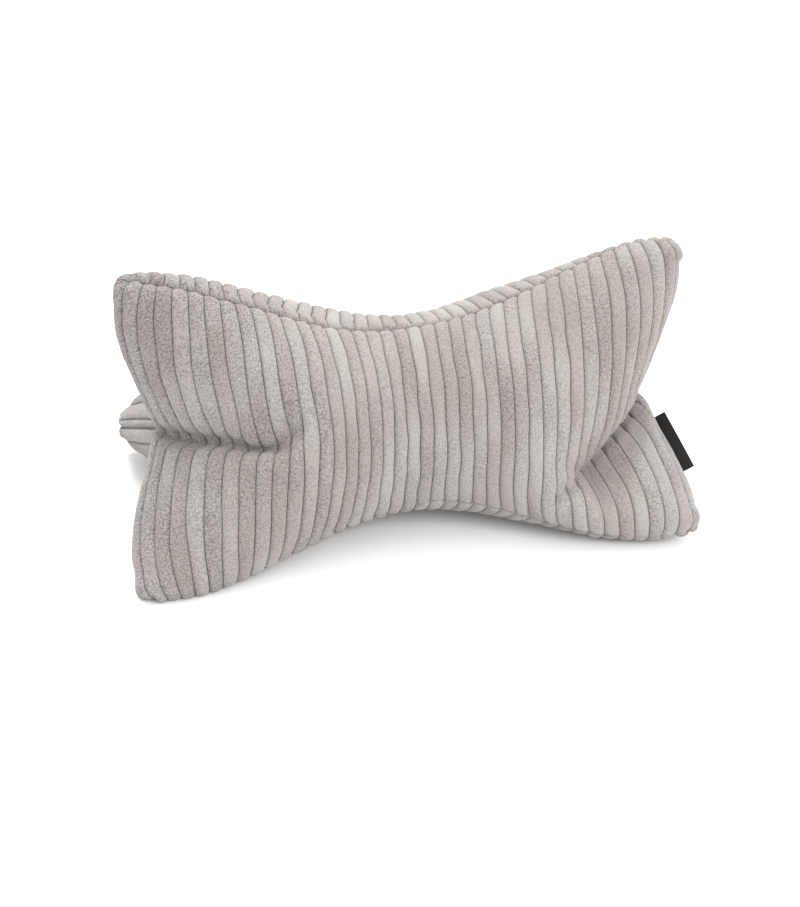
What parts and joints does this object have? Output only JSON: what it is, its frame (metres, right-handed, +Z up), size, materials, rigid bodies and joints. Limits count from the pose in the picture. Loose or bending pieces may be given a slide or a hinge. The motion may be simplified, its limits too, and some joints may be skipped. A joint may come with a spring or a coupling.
{
  "type": "neck pillow",
  "caption": "Bone-shaped neck pillow in wide-wale corduroy, stuffed, with a narrow waist and three rounded lobes at each end, standing on the lower lobes.",
  "frame": {"origin": "middle of the pillow, on the surface that it stands on", "axes": "+X along the pillow, towards the end that carries the tag, -Y the side with the tag's lobe, +Z up"},
  "size_m": [0.422, 0.2268, 0.2089],
  "materials": {
    "corduroy": "matt warm grey plush corduroy, wide soft wales",
    "tag_tape": "plain black woven tape"
  },
  "bodies": {
    "root": {"pillow_body": "corduroy", "tag": "tag_tape"}
  },
  "joints": []
}
